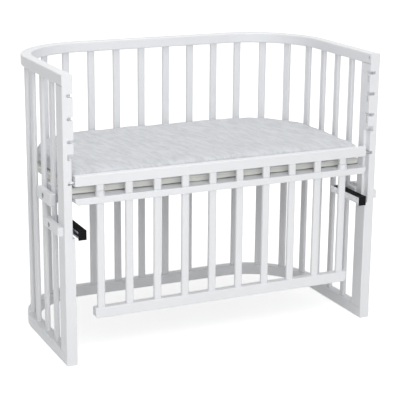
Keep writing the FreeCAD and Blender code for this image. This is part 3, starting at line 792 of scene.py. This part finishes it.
def shrunk_mesh(name, node, shrink):
    """Return a copy of a CAD node's mesh, made smaller on every side."""
    low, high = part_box(node)
    centre = (low + high) / 2
    sides = [(high[axis] - low[axis]) / 2 for axis in range(3)]
    factors = [(side - shrink) / side for side in sides]
    builder = bmesh.new()
    builder.from_mesh(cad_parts[node].data)
    bmesh.ops.remove_doubles(builder, verts=builder.verts, dist=1e-5)
    bmesh.ops.translate(builder, verts=builder.verts, vec=-centre)
    bmesh.ops.scale(builder, verts=builder.verts, vec=factors)
    bmesh.ops.translate(builder, verts=builder.verts, vec=centre)
    mesh = bpy.data.meshes.new(name)
    builder.to_mesh(mesh)
    builder.free()
    return mesh


def lofted(mesh, low, high, loft):
    """Hold the cover within its solid on all sides, and raise its top above it."""
    rise = 1.0 + loft / (high.z - low.z)
    for vert in mesh.vertices:
        vert.co.x = min(max(vert.co.x, low.x), high.x)
        vert.co.y = min(max(vert.co.y, low.y), high.y)
        vert.co.z = low.z + max(vert.co.z - low.z, UNDERSIDE_GAP) * rise


class CRIB_OT_mattress(bpy.types.Operator):
    """Make the padded mattress from the space its solid holds"""

    bl_idname = "crib.mattress"
    bl_label = "Make the mattress"

    def execute(self, context):
        settings = context.scene.crib_mattress
        colours = context.scene.crib_finish
        finish = cover_finish("knitted_cover", tuple(colours.cover_light), tuple(colours.cover_dark))
        low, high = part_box("mattress")
        mesh = shrunk_mesh("mattress_cover", "mattress", settings.shrink)
        piece = new_piece("mattress_cover", mesh, finish, "base")
        remeshed(piece, settings.voxel)
        inflate(piece, settings.swell)
        refine = piece.modifiers.new("finer", "SUBSURF")
        refine.levels = 1
        refine.render_levels = 1
        apply_modifiers(piece)
        ripples(piece.data, low, high, settings.ripple)
        lofted(piece.data, low, high, settings.loft)
        piece.data.materials.clear()
        piece.data.materials.append(finish)
        smooth(piece.data)
        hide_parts("mattress")
        return {"FINISHED"}


# ---------------------------------------------------------------- stage


def soft_light(name, place, target, width, height, power):
    """Return a large soft lamp aimed at a point."""
    lamp = bpy.data.lights.new(name, "AREA")
    lamp.shape = "RECTANGLE"
    lamp.size = width
    lamp.size_y = height
    lamp.energy = power
    holder = bpy.data.objects.new(name, lamp)
    bpy.context.collection.objects.link(holder)
    holder.location = place
    holder.rotation_euler = (Vector(target) - Vector(place)).to_track_quat("-Z", "Y").to_euler()
    return holder


def seen_rays(tree):
    """Return 1 for rays from the camera and for rays seen in metal or glass."""
    paths = tree.nodes.new("ShaderNodeLightPath")
    first = tree.nodes.new("ShaderNodeMath")
    first.operation = "MAXIMUM"
    tree.links.new(paths.outputs["Is Camera Ray"], first.inputs[0])
    tree.links.new(paths.outputs["Is Glossy Ray"], first.inputs[1])
    second = tree.nodes.new("ShaderNodeMath")
    second.operation = "MAXIMUM"
    tree.links.new(first.outputs["Value"], second.inputs[0])
    tree.links.new(paths.outputs["Is Transmission Ray"], second.inputs[1])
    return second.outputs["Value"]


def white_world(strength):
    """Make the world: white where it is seen, an even light elsewhere."""
    world = bpy.data.worlds.new("studio")
    world.use_nodes = True
    bpy.context.scene.world = world
    tree = world.node_tree
    tree.nodes.clear()
    output = tree.nodes.new("ShaderNodeOutputWorld")
    mix = tree.nodes.new("ShaderNodeMixShader")
    light = tree.nodes.new("ShaderNodeBackground")
    light.inputs["Color"].default_value = (1.0, 1.0, 1.0, 1.0)
    light.inputs["Strength"].default_value = strength
    seen = tree.nodes.new("ShaderNodeBackground")
    seen.inputs["Color"].default_value = (1.0, 1.0, 1.0, 1.0)
    seen.inputs["Strength"].default_value = 1.0
    tree.links.new(seen_rays(tree), mix.inputs["Fac"])
    tree.links.new(light.outputs["Background"], mix.inputs[1])
    tree.links.new(seen.outputs["Background"], mix.inputs[2])
    tree.links.new(mix.outputs["Shader"], output.inputs["Surface"])


def floor_finish(near_lift, far_lift):
    """White floor that keeps shadows and shows as white where nothing shades it."""
    finish, tree, shader = new_finish("studio_floor")
    shader.inputs["Base Color"].default_value = (FLOOR_GREY, FLOOR_GREY, FLOOR_GREY, 1.0)
    shader.inputs["Roughness"].default_value = 0.9
    shader.inputs["Specular IOR Level"].default_value = 0.0
    shader.inputs["Emission Color"].default_value = (1.0, 1.0, 1.0, 1.0)
    coordinates = tree.nodes.new("ShaderNodeTexCoord")
    reach = tree.nodes.new("ShaderNodeVectorMath")
    reach.operation = "LENGTH"
    tree.links.new(coordinates.outputs["Object"], reach.inputs[0])
    lift = remap(tree, reach.outputs["Value"], LIFT_START, LIFT_END, near_lift, far_lift)
    scale = tree.nodes.new("ShaderNodeMath")
    scale.operation = "MULTIPLY"
    tree.links.new(lift, scale.inputs[1])
    tree.links.new(seen_rays(tree), scale.inputs[0])
    tree.links.new(scale.outputs["Value"], shader.inputs["Emission Strength"])
    return finish


class CRIB_OT_stage(bpy.types.Operator):
    """Set up the floor, the lights and the camera"""

    bl_idname = "crib.stage"
    bl_label = "Set the stage"

    def execute(self, context):
        settings = context.scene.crib_stage
        builder = bmesh.new()
        bmesh.ops.create_grid(builder, x_segments=2, y_segments=2, size=FLOOR_HALF)
        mesh = bpy.data.meshes.new("floor")
        builder.to_mesh(mesh)
        builder.free()
        mesh.materials.append(floor_finish(settings.floor_lift, settings.far_lift))
        floor = bpy.data.objects.new("floor", mesh)
        context.collection.objects.link(floor)
        white_world(settings.ambient)
        soft_light("front_light", (-0.3, -3.7, 2.3), STAGE_MIDDLE, 2.8, 2.8, settings.key)
        soft_light("overhead_light", (0.0, -0.4, 3.6), STAGE_MIDDLE, 2.4, 2.0, settings.overhead)
        soft_light("side_light", (-1.3, -3.1, 1.6), STAGE_MIDDLE, 1.6, 1.6, settings.side)
        camera = bpy.data.cameras.new("camera")
        camera.sensor_width = 36.0
        camera.lens = settings.lens
        holder = bpy.data.objects.new("camera", camera)
        context.collection.objects.link(holder)
        holder.location = settings.camera
        turn = Matrix.Rotation(-settings.heading, 3, "Z")
        turn = turn @ Matrix.Rotation(math.pi / 2 - settings.tilt, 3, "X")
        turn = turn @ Matrix.Rotation(settings.roll, 3, "Z")
        holder.rotation_euler = turn.to_euler()
        context.scene.camera = holder
        context.scene.view_settings.view_transform = "Standard"
        return {"FINISHED"}


# ---------------------------------------------------------------- sidebar


class CRIB_PT_sidebar(bpy.types.Panel):
    """List the steps that dress the crib"""

    bl_idname = "CRIB_PT_sidebar"
    bl_label = "Crib"
    bl_space_type = "VIEW_3D"
    bl_region_type = "UI"
    bl_category = "Crib"

    def draw(self, context):
        for step in STEPS:
            self.layout.operator(step.bl_idname)
        for group in ("crib_finish", "crib_mattress", "crib_stage"):
            settings = getattr(context.scene, group)
            column = self.layout.column(heading=settings.bl_rna.name)
            for name in settings.__annotations__:
                column.prop(settings, name)


STEPS = (
    CRIB_OT_lacquered_wood,
    CRIB_OT_base_board,
    CRIB_OT_slide_bars,
    CRIB_OT_clamp_screws,
    CRIB_OT_mattress,
    CRIB_OT_stage,
)
GROUPS = {
    "crib_finish": CribFinishSettings,
    "crib_mattress": CribMattressSettings,
    "crib_stage": CribStageSettings,
}


def register():
    """Register the settings, the steps and the panel."""
    for name, group in GROUPS.items():
        bpy.utils.register_class(group)
        setattr(bpy.types.Scene, name, bpy.props.PointerProperty(type=group))
    for step in STEPS:
        bpy.utils.register_class(step)
    bpy.utils.register_class(CRIB_PT_sidebar)


def unregister():
    """Take the panel, the steps and the settings away again."""
    bpy.utils.unregister_class(CRIB_PT_sidebar)
    for step in reversed(STEPS):
        bpy.utils.unregister_class(step)
    for name, group in GROUPS.items():
        delattr(bpy.types.Scene, name)
        bpy.utils.unregister_class(group)


def main():
    """Dress the crib."""
    register()
    bpy.ops.crib.lacquered_wood()
    bpy.ops.crib.base_board()
    bpy.ops.crib.slide_bars()
    bpy.ops.crib.clamp_screws()
    bpy.ops.crib.mattress()
    bpy.ops.crib.stage()


if __name__ == "__main__":
    main()
